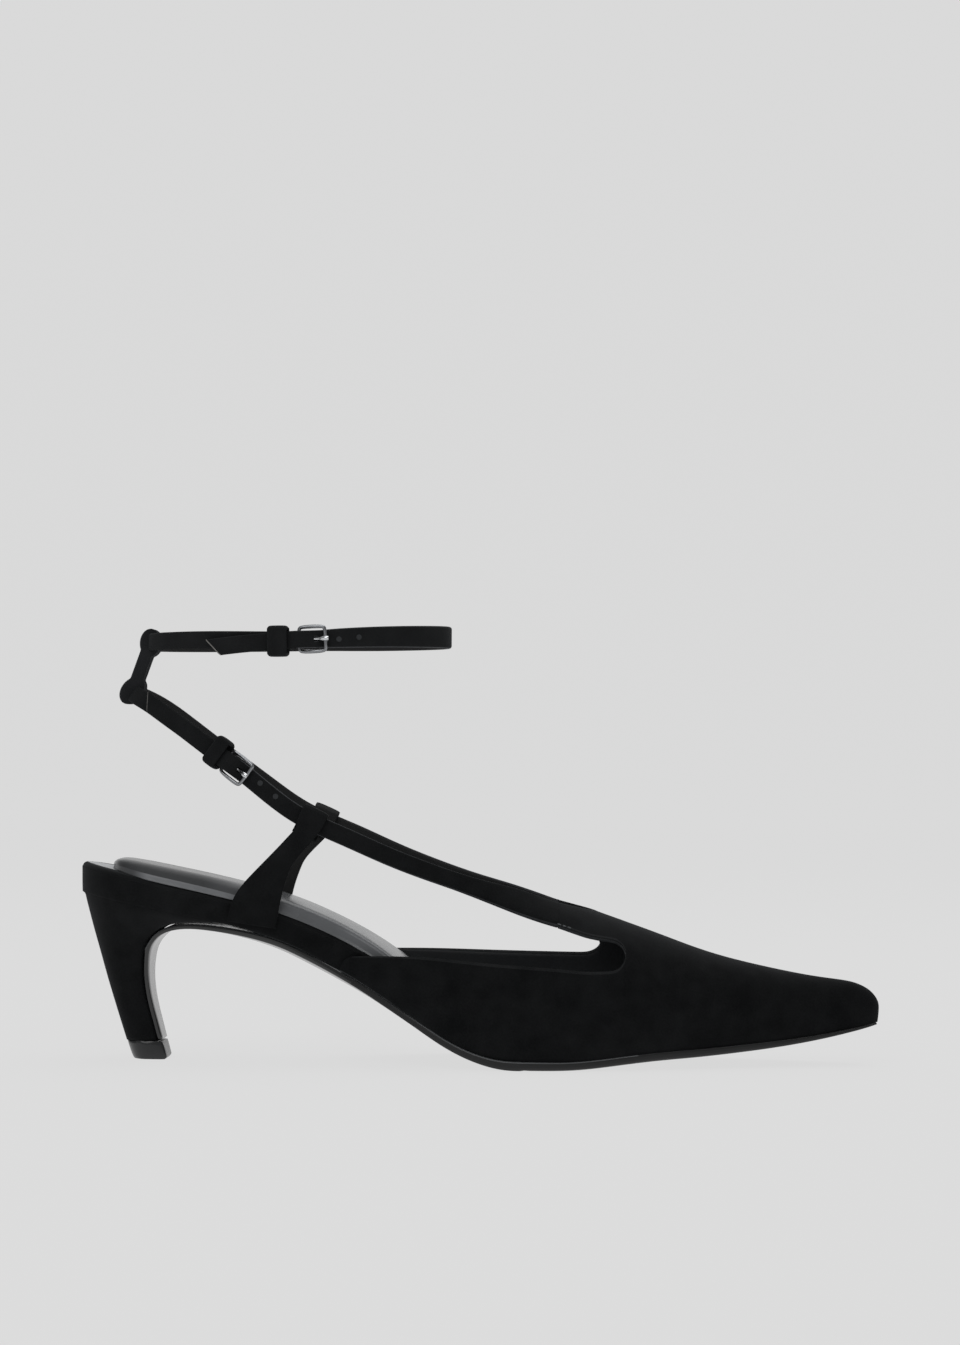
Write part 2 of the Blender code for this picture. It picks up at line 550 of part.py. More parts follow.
def flare(track, stops, lefts, side):
    """Half widths and bows of an instep strap that widens and curls into its root."""
    _, _, half, curl = strap_root(side)
    halves = [STRAP_HALF + (half - STRAP_HALF) * max(0, 1 - left / FLARE) ** 1.6 for left in lefts]
    bows = [track.frame(s)[1] * curl * max(0, 1 - left / FLARE) ** 2 for s, left in zip(stops, lefts)]
    return halves, bows


def build_sling_straps(track, bar):
    stops = np.concatenate((np.linspace(0.05, 26, 9), np.linspace(30, bar - 10, 27)))
    halves, bows = flare(track, stops, stops, 1)
    points = [track.point(s) + bow for s, bow in zip(stops, bows)]
    widths = [track.frame(s)[2] for s in stops]
    ends_at, end_widths, thicks = fold_line(track, bar)
    extra = len(ends_at)
    sling = band("sling_strap", points + ends_at, widths + end_widths, halves + [STRAP_HALF] * extra,
                 [STRAP_THICK] * len(stops) + thicks, SUEDE, bows + [np.zeros(3)] * extra, 0)
    length, tail = track.length[-1], track.nearest(SLING_TAIL_X, -1)
    stops = np.concatenate((np.linspace(tail, bar - 6, 10), np.linspace(bar - 4, bar + 12, 11),
                            np.linspace(bar + 16, length - 30, 14),
                            np.linspace(length - 26, length - 0.05, 9)))
    points, widths = tail_line(track, bar, stops)
    halves, bows = flare(track, stops, length - stops, -1)
    points = [p + bow for p, bow in zip(points, bows)]
    outer = band("outer_strap", points, widths, halves, [STRAP_THICK] * len(stops), SUEDE, bows, -1,
                 TAIL_SLANT)
    return sling, outer


def build_ankle_strap(track, bars):
    front_bar, end_bar = bars
    start = track.length[np.argmin(np.abs(ANKLE_TURNS - ANKLE_TAIL_DEG))]
    stops = np.concatenate((np.linspace(start, front_bar - 5, 7),
                            np.linspace(front_bar - 3.5, front_bar + 12, 11),
                            np.linspace(front_bar + 16, end_bar - 10, 27)))
    points, widths = tail_line(track, front_bar, stops, ANKLE_DROOP)
    ends_at, end_widths, thicks = fold_line(track, end_bar)
    ahead = np.cos(np.radians(np.interp(stops, track.length, ANKLE_TURNS)))
    widens = np.sqrt(np.clip((ahead - GAIN_FROM) / (1 - GAIN_FROM), 0, 1))
    halves = list(ANKLE_HALF + ANKLE_GAIN * widens) + [ANKLE_HALF] * len(ends_at)
    return band("ankle_strap", points + ends_at, widths + end_widths, halves,
                [STRAP_THICK] * len(stops) + thicks, SUEDE, slant=TAIL_SLANT)


def tube(name, points, radius, spec, closed=False, up=(0, 0, 1), sides=8):
    points = np.array(points)
    steps = np.roll(points, -1, 0) - np.roll(points, 1, 0) if closed else np.gradient(points, axis=0)
    run = unit(steps)
    first = unit(np.cross(run, np.array(up)))
    second = np.cross(run, first)
    turns = np.linspace(0, 2 * math.pi, sides, endpoint=False)
    radii = radius if np.ndim(radius) else [radius] * len(points)
    rings = [[p + r * (a * math.cos(t) + b * math.sin(t)) for t in turns]
             for p, a, b, r in zip(points, first, second, radii)]
    return solid(name, rings, spec, closed)


def rounded_box(half_a, half_b, corner, per_corner=3):
    """Corner-rounded rectangle as (a, b) pairs."""
    pairs = []
    for quarter, (sa, sb) in enumerate(((1, 1), (-1, 1), (-1, -1), (1, -1))):
        for turn in np.linspace(0, math.pi / 2, per_corner) + quarter * math.pi / 2:
            pairs.append((sa * (half_a - corner) + corner * math.cos(turn),
                          sb * (half_b - corner) + corner * math.sin(turn)))
    return pairs


def build_buckle(prefix, track, bar, keeper_at, keeper_long, keeper_box, straps, fold_owner):
    """Frame, prong and keeper of one fastening; the straps are slotted for the prong."""
    middle, n, w = track.frame(bar + FRAME_LONG / 2)
    t = np.cross(n, w)
    t = t if np.dot(track.point(bar) - middle, t) > 0 else -t
    tilt = (REAR_BAR_N - FRONT_BAR_N) / FRAME_LONG
    base = track.point(bar) - t * FRAME_LONG / 2 - middle

    def spot(s, out, across=0.0):
        return middle + base + t * (s + FRAME_LONG / 2) + n * out + w * across

    frame = [spot(a - FRAME_LONG / 2, (REAR_BAR_N + FRONT_BAR_N) / 2 + tilt * a, b)
             for a, b in rounded_box(FRAME_LONG / 2, FRAME_HALF, 1.1)]
    tube(prefix + "_buckle", frame, BAR_R, STEEL, closed=True, up=n)
    prong = [spot(EYE_R * math.cos(a), REAR_BAR_N + EYE_R * math.sin(a))
             for a in np.radians(np.linspace(-140, 90, 11))]
    radii = [PRONG_R] * len(prong) + [r for _, _, r in PRONG]
    prong += [spot(s, out) for s, out, _ in PRONG]
    tube(prefix + "_prong", prong, radii, STEEL, up=w)
    path = [spot(0, REAR_BAR_N, -0.85), spot(0, REAR_BAR_N, 0.85)]
    cut(fold_owner, tube("slot", path, EYE_R + 0.62, STEEL, up=n, sides=16))
    cut(straps, tube("hole", prong[9:], HOLE_R, STEEL, up=w))
    low_n, high_n, low_w, high_w = keeper_box
    k_mid, k_n, k_w = track.frame(bar - keeper_at)
    k_t = np.cross(k_n, k_w)
    inside, outside = (rounded_box((high_n - low_n) / 2 + grow, (high_w - low_w) / 2 + grow, 0.7 + grow, 4)
                       for grow in (0, KEEPER_WALL))
    loops = []
    for near, far in zip(inside, outside):
        section = [(near, -1), (far, -1), (far, 1), (near, 1)]
        loops.append([k_mid + k_n * (p[0] + (low_n + high_n) / 2) + k_w * (p[1] + (low_w + high_w) / 2)
                      + k_t * sign * keeper_long / 2 for p, sign in section])
    solid(prefix + "_keeper", loops, SUEDE, closed=True)


def build_stay(name, track, side):
    """A side post: from the footbed's edge up outside the strap, over it and down behind."""
    at = track.nearest(STAY_X, side)
    middle, n, w = track.frame(at)
    along = np.cross(w, n) * side
    along = along if along[0] > 0 else -along
    points, widths, halves = [], [], []
    for s in np.linspace(0, 4, 9):
        x, share = STAY.at("x", s), s / 4
        back, edge, front = (outline(x + step)[0 if side < 0 else 1] for step in (-7, 0, 7))
        points.append(np.array((x, edge + side * STAY.at("out", s), STAY.at("z", s))))
        rim = np.array((14, front - back, RIM.at("z", x + 7) - RIM.at("z", x - 7)))
        widths.append(unit(rim) * (1 - share) + along * share)
        halves.append(STAY.at("half", s))
    loop = ((1.9, -4.4), (1.9, -2.4), (1.9, 0), (1.9, 2.4), (1.85, 3.3), (1.15, 4.05), (0, 4.2),
            (-1.15, 4.05), (-1.85, 3.3), (-1.9, 2.4), (-1.9, 0), (-1.9, -2.6), (-1.5, -3.9), (-0.5, -5))
    points += [middle + n * a + w * b for a, b in loop]
    widths += [along] * len(loop)
    halves += [min(STAY_HALF, 3.4 + 0.4 * k) for k in range(len(loop))]
    return band(name, points, widths, halves, [STAY_THICK] * len(points), SUEDE)


def build_back_tab(sling, ankle):
    """A strip folded round the sling and the ankle strap, its ends meeting inside the neck."""
    low, low_n, low_w = sling.frame(sling.length[np.argmin(sling.points[:, 0])])
    high, high_n, high_w = ankle.frame(ankle.length[np.argmin(ankle.points[:, 0])])
    neck_low, neck_high = low + low_w * 5.6 + low_n * 0.5, high - high_w * 5.4 + high_n * 0.2
    layer = unit(low_n + high_n) * TAB_LAYER
    neck = (neck_low + neck_high) / 2
    axis = unit(neck_high - neck_low)
    points = [neck - layer - axis * GAP / 2, neck_low - layer]
    points += [low + low_n * a + low_w * b for a, b in LOOP]
    points += [neck_low + layer, neck + layer, neck_high + layer]
    points += [high - high_n * a - high_w * b for a, b in LOOP]
    points += [neck_high - layer, neck - layer + axis * GAP / 2]
    count = len(points)
    return band("back_tab", points, [(0, 1, 0)] * count, [TAB_HALF] * count, [TAB_THICK] * count, SUEDE,
                [unit(layer) * TAB_BOW] * count)


def build():
    for old in list(bpy.data.objects):
        bpy.data.objects.remove(old)
    build_outsole()
    build_heel()
    build_heel_tip()
    build_footbed()
    build_insole()
    build_upper()
    sling, ankle = sling_track(), ankle_track()
    bar = sling.nearest(SLING_BAR_X, -1)
    sling_strap, outer_strap = build_sling_straps(sling, bar)
    bars = [ankle.length[np.argmin(np.abs(ANKLE_TURNS - d))] for d in (ANKLE_BAR_DEG, ANKLE_BAR_DEG + 360)]
    ankle_strap = build_ankle_strap(ankle, bars)
    build_stay("outer_stay", sling, -1)
    build_stay("inner_stay", sling, 1)
    build_back_tab(sling, ankle)
    build_buckle("sling", sling, bar, 3.6, 4.8, (-1.9, 4.1, -3.3, 4.3), outer_strap, sling_strap)
    build_buckle("ankle", ankle, bars[0], 6.5, 6.4, (-1.35, 4.1, -3.95, 3.2), ankle_strap, ankle_strap)


build()
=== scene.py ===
# %% [markdown]
# # A black suede slingback pump
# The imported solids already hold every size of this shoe: the last, the sole, the straps and the buckles.
# This lesson dresses them. Each solid is copied, its loose triangles are merged, and the copy is rounded
# and given the finish of the real material. Small things, such as stitches and punched holes, are added.

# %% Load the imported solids
import math

import bmesh
import bpy
from mathutils import Matrix, Vector
from mathutils.bvhtree import BVHTree


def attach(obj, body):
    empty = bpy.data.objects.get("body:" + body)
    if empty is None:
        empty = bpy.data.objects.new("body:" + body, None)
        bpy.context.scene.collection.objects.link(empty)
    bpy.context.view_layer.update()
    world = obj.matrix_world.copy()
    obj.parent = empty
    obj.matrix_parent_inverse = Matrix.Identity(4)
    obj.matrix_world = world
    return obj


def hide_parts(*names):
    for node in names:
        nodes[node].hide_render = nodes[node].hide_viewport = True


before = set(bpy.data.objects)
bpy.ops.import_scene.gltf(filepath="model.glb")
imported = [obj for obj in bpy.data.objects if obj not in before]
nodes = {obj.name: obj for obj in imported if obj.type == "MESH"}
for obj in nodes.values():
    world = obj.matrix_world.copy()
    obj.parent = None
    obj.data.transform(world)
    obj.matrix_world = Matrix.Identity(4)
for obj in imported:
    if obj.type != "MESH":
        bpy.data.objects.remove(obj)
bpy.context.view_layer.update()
MM = 0.001
print(len(nodes), "solids:", ", ".join(sorted(nodes)))

# %% [markdown]
# ## Camera
# The photograph is a level side view, taken from a little over a metre away with a short telephoto lens.
# The picture turns by half a degree, so the camera does too. The frame is raised by the lens shift, as a
# product photographer raises it, because a tilted camera would make the uprights lean.

# %% Place the camera
EYE = Vector((30.1, -1149.6, 101.6)) * MM
YAW, ROLL = math.radians(1.5), math.radians(0.5)
LENS, LONG_SIDE, RAISE = 94.2, 36.0, 0.0576

lens = bpy.data.cameras.new("camera")
lens.lens, lens.sensor_width, lens.shift_y = LENS, LONG_SIDE, RAISE
camera = bpy.data.objects.new("camera", lens)
turn = Matrix.Rotation(YAW, 4, "Z") @ Matrix.Rotation(math.radians(90), 4, "X") @ Matrix.Rotation(ROLL, 4, "Z")
camera.matrix_world = Matrix.Translation(EYE) @ turn
bpy.context.scene.collection.objects.link(camera)
bpy.context.scene.camera = camera
print("camera", tuple(round(v, 3) for v in camera.location))

# %% [markdown]
# ## Finishes
# A finish starts from what the real surface is. Colours are written as the hex values that an eye would
# pick from a picture, and one function turns them into the linear light that a shader works in. A second
# function adds a node, sets its values and links what feeds it.

# %% Colours and nodes
bpy.context.scene.view_settings.view_transform = "Standard"


def linear(code):
    """Linear colour of an sRGB hex value."""
    parts = [int(code[k:k + 2], 16) / 255 for k in (1, 3, 5)]
    return tuple(c / 12.92 if c <= 0.04045 else ((c + 0.055) / 1.055) ** 2.4 for c in parts) + (1.0,)


def add(tree, kind, values, **settings):
    """A new node; a value is a plain setting of a socket or the socket that feeds it."""
    node = tree.nodes.new(kind)
    for name, value in settings.items():
        setattr(node, name, value)
    for socket, value in values.items():
        if isinstance(value, bpy.types.NodeSocket):
            tree.links.new(value, node.inputs[socket])
        else:
            node.inputs[socket].default_value = value
    return node


def finish(name, **sockets):
    """A material with its Principled shader set; returns the material, its tree, shader and coordinates."""
    made = bpy.data.materials.new(name)
    made.use_nodes = True
    shader = made.node_tree.nodes["Principled BSDF"]
    for socket, value in sockets.items():
        shader.inputs[socket.replace("_", " ")].default_value = value
    place = add(made.node_tree, "ShaderNodeTexCoord", {}).outputs["Object"]
    return made, made.node_tree, shader, place


def per_metre(size_mm):
    """Texture scale at which one cell of a pattern is this many millimetres."""
    return 1 / (size_mm * MM)


print("white is", linear("#ffffff"))

# %% [markdown]
# ## Suede
# Suede is the brushed flesh side of a hide. Short fibres scatter the light, so it has no gloss, but at a
# glancing angle their tips glow: that is the sheen. A hand that strokes it leaves soft patches, a shade
# lighter or darker. Two clouds of noise give the patches. Real fibres are a tenth of a millimetre; they
# are drawn coarser here, so that the nap shows in a picture. The tone is also painted lighter with the
# height, slowly, so the straps come out a shade lighter: this is painted light, for the light from above.

# %% Suede and its edges
NAP_MM, STROKE_MM, PATCH_MM = 0.5, 6.0, 22.0
NAP_DEEP_MM, NAP_BUMP = 0.10, 0.3
# Painted light: the tone is lifted between a low and a high height, more the higher it is.
LOW_MM, HIGH_MM, HEIGHT_PAINTED_LIGHT = 35.0, 140.0, 0.9
NOISE_LOW, NOISE_HIGH = 1.1, 1.9


def suede(name, dark, light, sheen):
    """A napped finish between two tones, with a glow on the tips of its fibres and painted light that grows with
    the height.
    """
    made, tree, shader, place = finish(name, Roughness=0.94, IOR=1.42, Sheen_Weight=sheen, Sheen_Roughness=0.45,
                                       Specular_IOR_Level=0.15, Sheen_Tint=linear("#9da1a6"))
    nap, stroke, patch = (
        add(tree, "ShaderNodeTexNoise", {"Vector": place, "Scale": per_metre(size), "Detail": detail})
        for size, detail in ((NAP_MM, 3.0), (STROKE_MM, 1.0), (PATCH_MM, 2.0)))
    cloud = add(tree, "ShaderNodeMath", {0: patch.outputs["Fac"], 1: stroke.outputs["Fac"]})
    # Painted light: a lift of the tone that grows with the height.
    height = add(tree, "ShaderNodeSeparateXYZ", {0: place})
    painted_height_light = add(tree, "ShaderNodeMapRange", {"Value": height.outputs["Z"], "From Min": LOW_MM * MM,
                                              "From Max": HIGH_MM * MM, "To Max": HEIGHT_PAINTED_LIGHT})
    mixed = add(tree, "ShaderNodeMath", {0: cloud.outputs[0], 1: nap.outputs["Fac"]})
    raised = add(tree, "ShaderNodeMath", {0: mixed.outputs[0], 1: painted_height_light.outputs[0]})
    tone = add(tree, "ShaderNodeMapRange", {"Value": raised.outputs[0], "From Min": NOISE_LOW,
                                            "From Max": NOISE_HIGH + HEIGHT_PAINTED_LIGHT})
    color = add(tree, "ShaderNodeMix", {"Factor": tone.outputs[0], 6: linear(dark), 7: linear(light)},
                data_type="RGBA")
    tree.links.new(color.outputs[2], shader.inputs["Base Color"])
    bump = add(tree, "ShaderNodeBump", {"Strength": NAP_BUMP, "Distance": NAP_DEEP_MM * MM,
                                        "Height": nap.outputs["Fac"]})
    tree.links.new(bump.outputs[0], shader.inputs["Normal"])
    return made


SUEDE = suede("black_suede", "#0b0c0d", "#232425", 0.10)
# Painted light: the tab suede is a lighter copy, so that the tab's upright side, which the lamp lights less,
# matches the strap.
TAB = suede("black_tab_suede_painted_light", "#121314", "#2e2f31", 0.12)
# The folded edge suede is paler: partly worn, partly a painted highlight for the light that the edge catches.
FOLD = suede("folded_suede_edge_painted_highlight", "#191a1b", "#343536", 0.20)
# The strap edge suede is paler: partly worn, partly a painted highlight for the light that the edges catch.
EDGE = suede("rubbed_suede_edge_painted_highlight", "#28292b", "#4a4b4d", 0.30)
# Painted shade: a darker edge suede, laid on the upward edges at the back of the straps, which the top lamp
# lights.
SHADE_EDGE_SUEDE = suede("painted_shade_suede_edge", "#060607", "#131415", 0.0)
print("made", ", ".join(m.name for m in (SUEDE, TAB, FOLD, EDGE, SHADE_EDGE_SUEDE)))

# %% [markdown]
# ## Smooth leathers
# The insole and the backs of the straps are smooth grained leather. Its grain is a net of small cells with
# soft valleys between them, which a Voronoi pattern gives. Seen along its surface, the insole mirrors the
# pale room, so its top looks light and its side dark. The sole is the same hide, pressed, inked and
# polished: almost no grain, and a coat of wax.

# %% Lining, insole, sole, raw cut and heel tip
GRAIN_MM, SCUFF_MM, GRAIN_DEEP_MM = 0.9, 7.0, 0.06
SCUFF_ROUGH = 0.05


def leather(name, dark, light, roughness, grain, coat=0.0):
    """A grained finish between two tones, whose scuffs are a little rougher or smoother."""
    made, tree, shader, place = finish(name, IOR=1.5, Coat_Weight=coat, Coat_Roughness=0.08)
    cells = add(tree, "ShaderNodeTexVoronoi", {"Vector": place, "Scale": per_metre(GRAIN_MM)},
                feature="SMOOTH_F1")
    scuff = add(tree, "ShaderNodeTexNoise", {"Vector": place, "Scale": per_metre(SCUFF_MM), "Detail": 4.0})
    color = add(tree, "ShaderNodeMix", {"Factor": scuff.outputs["Fac"], 6: linear(dark), 7: linear(light)},
                data_type="RGBA")
    tree.links.new(color.outputs[2], shader.inputs["Base Color"])
    gloss = add(tree, "ShaderNodeMapRange", {"Value": scuff.outputs["Fac"], "To Min": roughness - SCUFF_ROUGH,
                                             "To Max": roughness + SCUFF_ROUGH})
    tree.links.new(gloss.outputs[0], shader.inputs["Roughness"])
    bump = add(tree, "ShaderNodeBump", {"Strength": grain, "Distance": GRAIN_DEEP_MM * MM,
                                        "Height": cells.outputs[0]})
    tree.links.new(bump.outputs[0], shader.inputs["Normal"])
    return made


LINING = leather("black_lining_leather", "#2a2c2e", "#393b3d", 0.48, 0.5)
BACKING = leather("black_strap_backing", "#0d0e0f", "#151617", 0.75, 0.5)
INSOLE = leather("grey_insole_leather_painted_shade", "#5e6062", "#707275", 0.24, 0.25)
# Painted reflection: the welt and the heel lining are a paler grey than the cover, for the pale room that they
# mirror.
WELT = leather("grey_insole_welt_painted_light_and_shade", "#6c6e71", "#828487", 0.34, 0.25)
HEEL_LINING = leather("grey_heel_lining_painted_reflection", "#6c6e71", "#828487", 0.34, 0.25)
SOLE = leather("polished_sole_leather", "#0f1011", "#161718", 0.24, 0.06, coat=0.4)
# Painted highlight: the paler arris stands for the light line along the upper edge of the sole.
ARRIS = leather("sole_arris_painted_highlight", "#46484a", "#5c5e60", 0.30, 0.05)
RAW = leather("raw_cut_leather", "#6b6966", "#8c8a86", 0.75, 0.6)
INK = leather("inked_sole_edge", "#0d0e0f", "#141516", 0.50, 0.10)
TIP = leather("heel_tip_rubber", "#101214", "#191b1d", 0.34, 0.10, coat=0.2)
leathers = (LINING, BACKING, INSOLE, WELT, HEEL_LINING, SOLE, ARRIS, RAW, INK, TIP)
print("made", ", ".join(m.name for m in leathers))

# %% [markdown]
# The cover of the insole is painted darker towards the heel, a painted shade, and the welt is painted darker
# at its rear end, where it meets that shade. The lining that shows behind them is painted lighter, a painted
# reflection of the pale room. The colour that the function linked is taken off the shader, multiplied by a
# factor that depends on the place along the shoe, and linked again. Towards its sides the heel of the pad is
# brushed dull.

# %% Paint shade on the insole towards the heel and light on the lining behind it
HEEL_END_X, ARCH_X, HEEL_PAINTED_SHADE = -88.0, -55.0, 0.38
BACK_END_X, PAD_END_X, BACK_PAINTED_LIGHT = -122.0, -111.0, 2.4
PAD_SIDE_X, PAD_PAINTED_SHADE = -106.0, 0.4
DULL_IN_Y, DULL_OUT_Y, DULL = 8.0, 19.0, 0.5


def paint_shading_along(material, start_x, end_x, strength):
    """Paints shading along the shoe: multiplies a finish's colour by a strength at the start, which fades to one
    at the end.
    """
    tree = material.node_tree
    base = tree.nodes["Principled BSDF"].inputs["Base Color"]
    along = add(tree, "ShaderNodeSeparateXYZ", {0: add(tree, "ShaderNodeTexCoord", {}).outputs["Object"]})
    shade = add(tree, "ShaderNodeMapRange", {"Value": along.outputs["X"], "From Min": start_x * MM,
                                             "From Max": end_x * MM, "To Min": strength})
    painted_tone = add(tree, "ShaderNodeVectorMath", {0: base.links[0].from_socket, "Scale": shade.outputs[0]},
               operation="SCALE")
    tree.links.new(painted_tone.outputs[0], base)
    return along


# Painted reflection on the lining, lighter towards the back; painted shade at the rear end of the welt; painted
# shade on the cover towards the heel.
paint_shading_along(HEEL_LINING, BACK_END_X, PAD_END_X, BACK_PAINTED_LIGHT)
paint_shading_along(WELT, PAD_END_X, PAD_SIDE_X, PAD_PAINTED_SHADE)
along = paint_shading_along(INSOLE, HEEL_END_X, ARCH_X, HEEL_PAINTED_SHADE)
tree = INSOLE.node_tree
rough = tree.nodes["Principled BSDF"].inputs["Roughness"]
off_middle = add(tree, "ShaderNodeMath", {0: along.outputs["Y"]}, operation="ABSOLUTE")
at_sides = add(tree, "ShaderNodeMapRange", {"Value": off_middle.outputs[0], "From Min": DULL_IN_Y * MM,
                                            "From Max": DULL_OUT_Y * MM, "To Max": DULL})
at_heel = add(tree, "ShaderNodeMapRange", {"Value": along.outputs["X"], "From Min": HEEL_END_X * MM,
                                           "From Max": ARCH_X * MM, "To Min": 1.0, "To Max": 0.0})
dull = add(tree, "ShaderNodeMath", {0: at_sides.outputs[0], 1: at_heel.outputs[0],
                                    2: rough.links[0].from_socket}, operation="MULTIPLY_ADD")
tree.links.new(dull.outputs[0], rough)
print("insole shaded from", HEEL_END_X, "to", ARCH_X, "mm")

# %% [markdown]
# ## Dark nickel and thread
# The buckles are steel with a dark nickel plate, tumbled until they shine. What one sees in them is the
# room, softened by fine scratches. The prongs take a brighter plate than the frames. The thread is waxed
# polyester, and its wax catches the light.

# %% Nickel and thread
SCRATCH_MM = 0.8
PLY_MM, PLY_DEEP_MM, PLY_BUMP = 0.5, 0.05, 0.3


def plate(name, code, low, high):
    """A plated metal whose fine scratches vary its roughness between two values."""
    made, tree, shader, place = finish(name, Metallic=1.0, Base_Color=linear(code))
    scratch = add(tree, "ShaderNodeTexNoise", {"Vector": place, "Scale": per_metre(SCRATCH_MM), "Detail": 3.0})
    wear = add(tree, "ShaderNodeMapRange", {"Value": scratch.outputs["Fac"], "To Min": low, "To Max": high})
    tree.links.new(wear.outputs[0], shader.inputs["Roughness"])
    return made


NICKEL = plate("dark_nickel_plate", "#97999c", 0.20, 0.34)
BRIGHT = plate("bright_nickel_plate", "#e4e6e8", 0.14, 0.26)
THREAD, tree, shader, place = finish("waxed_grey_thread", Roughness=0.8, IOR=1.45, Base_Color=linear("#55585a"))
ply = add(tree, "ShaderNodeTexWave", {"Vector": place, "Scale": per_metre(PLY_MM) / (2 * math.pi)},
          bands_direction="DIAGONAL")
twist = add(tree, "ShaderNodeBump", {"Strength": PLY_BUMP, "Distance": PLY_DEEP_MM * MM,
                                     "Height": ply.outputs["Fac"]})
tree.links.new(twist.outputs[0], shader.inputs["Normal"])
print("made", NICKEL.name, BRIGHT.name, "and", THREAD.name)

# %% [markdown]
# ## Copies of the solids
# A solid from the frame is a bag of loose triangles. A copy is merged, its triangles are joined into
# quads, and the edges that turn sharply are creased, so that a subdivision surface rounds the form and
# keeps the crisp cut edges of leather. Faces between the sharp edges make up regions: the largest one of
# the upper is its outer skin, the next is its lining, and the rest are the edges of the hide.

# %% Merge, crease and find regions
WELD_MM = 0.004
JOIN_TURN_DEG, JOIN_SHAPE_DEG = 35, 150


def merged(node):
    """A bmesh of a solid with shared corners and quads."""
    bm = bmesh.new()
    bm.from_mesh(nodes[node].data)
    bmesh.ops.remove_doubles(bm, verts=bm.verts, dist=WELD_MM * MM)
    bmesh.ops.join_triangles(bm, faces=bm.faces, angle_face_threshold=math.radians(JOIN_TURN_DEG),
                             angle_shape_threshold=math.radians(JOIN_SHAPE_DEG))
    return bm


def crease(bm, limit, strength):
    """Creases the edges that turn by more than the limit in degrees; returns the layer that holds it."""
    layer = bm.edges.layers.float.new("crease_edge")
    for edge in bm.edges:
        if edge.calc_face_angle(0.0) > math.radians(limit):
            edge[layer] = strength
    return layer


def area(group):
    """Area of a group of faces."""
    return sum(face.calc_area() for face in group)


def regions(bm, limit):
    """Groups of faces between the sharp edges, the largest area first."""
    left, groups = set(bm.faces), []
    while left:
        stack, group = [left.pop()], []
        while stack:
            face = stack.pop()
            group.append(face)
            for edge in face.edges:
                if edge.calc_face_angle(0.0) < math.radians(limit):
                    found = [other for other in edge.link_faces if other in left]
                    left.difference_update(found)
                    stack.extend(found)
        groups.append(group)
    return sorted(groups, key=area, reverse=True)


print("corners closer than", WELD_MM, "mm are merged")

# %% [markdown]
# The solids stand 0.3 mm apart, so that the physics sees no overlap. On the shoe they are glued. Before a
# copy is rounded, its corners that lie close to the next piece are moved into it, and the joint closes.

# %% Close the joints
def surface(node):
    """A solid's surface, to measure distances to."""
    bm = merged(node)
    found = BVHTree.FromBMesh(bm)
    bm.free()
    return found


def settle(bm, onto, reach_mm, step_mm):
    """Moves the corners that lie near another solid by a step."""
    target = surface(onto)
    for vert in bm.verts:
        if target.find_nearest(vert.co, reach_mm * MM)[0]:
            vert.co += Vector(step_mm) * MM


board = surface("footbed")
gap = min(board.find_nearest(vert.co)[3] for vert in nodes["insole"].data.vertices)
print("the insole stands", round(gap / MM, 2), "mm off the footbed")

# %% [markdown]
# A shaped bmesh becomes an object that rides on the shoe's one body. A subdivision surface rounds it, and
# the bare solid that it stands for is hidden, so that it isn't drawn as well.

# %% Round and dress
def link(name, bm, materials):
    """Turns a bmesh into an object of the scene that rides on the shoe."""
    mesh = bpy.data.meshes.new(name)
    for face in bm.faces:
        face.smooth = True
    bm.to_mesh(mesh)
    bm.free()
    for material in materials:
        mesh.materials.append(material)
    piece = bpy.data.objects.new(name, mesh)
    bpy.context.scene.collection.objects.link(piece)
    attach(piece, "root")
    print(name, len(mesh.polygons), "faces")
    return piece


def dress(node, bm, materials, levels=2):
    """The piece that stands for a solid, under a subdivision surface."""
    piece = link(node + "_dressed", bm, materials)
    round_off = piece.modifiers.new("round", "SUBSURF")
    round_off.levels = round_off.render_levels = levels
    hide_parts(node)
    return piece


def shape(piece):
    """A piece's surface with its modifiers."""
    return BVHTree.FromObject(piece, bpy.context.evaluated_depsgraph_get())


# %% [markdown]
# ## Upper
# The upper is one cut of suede, pulled over the last and lined. Its edges are folded in and rubbed a little
# paler, and the paler finish also paints the highlight that the rolled edge catches, so a thin pale line runs
# round the cut-outs and the throat. Its foot is sunk into the sole, where it is glued. Every piece of suede
# numbers its finishes in the same way: outside, inside, rubbed edge with painted highlight, cut, and edge with
# painted shade.

# %% Sort the faces of the upper
SHARP_DEG, SLIVER_MM2 = 50, 3.0
# Finish numbers: outside, inside, paler edge (worn, and a painted highlight), cut, darker edge (painted shade).
OUTSIDE, INSIDE, WORN_AND_HIGHLIT_EDGE, CUT, PAINTED_SHADE_EDGE = range(5)

bm = merged("upper")
outer, inner, *rims = regions(bm, SHARP_DEG)
for face in inner:
    face.material_index = INSIDE
for rim in rims:
    if area(rim) < SLIVER_MM2 * MM * MM:
        outer += rim
        continue
    for face in rim:
        face.material_index = WORN_AND_HIGHLIT_EDGE
settle(bm, "outsole", reach_mm=0.8, step_mm=(0, 0, -0.45))
print("regions of", len(outer), len(inner), "and", len(rims), "rims")

# %% [markdown]
# The edges between the outer skin and a rim are the ones that are folded. Those at the sole, and at the
# ends that the straps grow out of, are left out.

# %% Find the folded edges
ROOT_X, ROOT_NEAR_MM = 26.0, 0.1
WING_END_X, SOLE_NEAR_MM = -40.0, 2.5
sole_surface = surface("outsole")
skin = set(outer)


def at_root(edge):
    """Whether an edge lies in the plane that the straps grow out of."""
    return all(abs(vert.co.x - ROOT_X * MM) < ROOT_NEAR_MM * MM for vert in edge.verts)


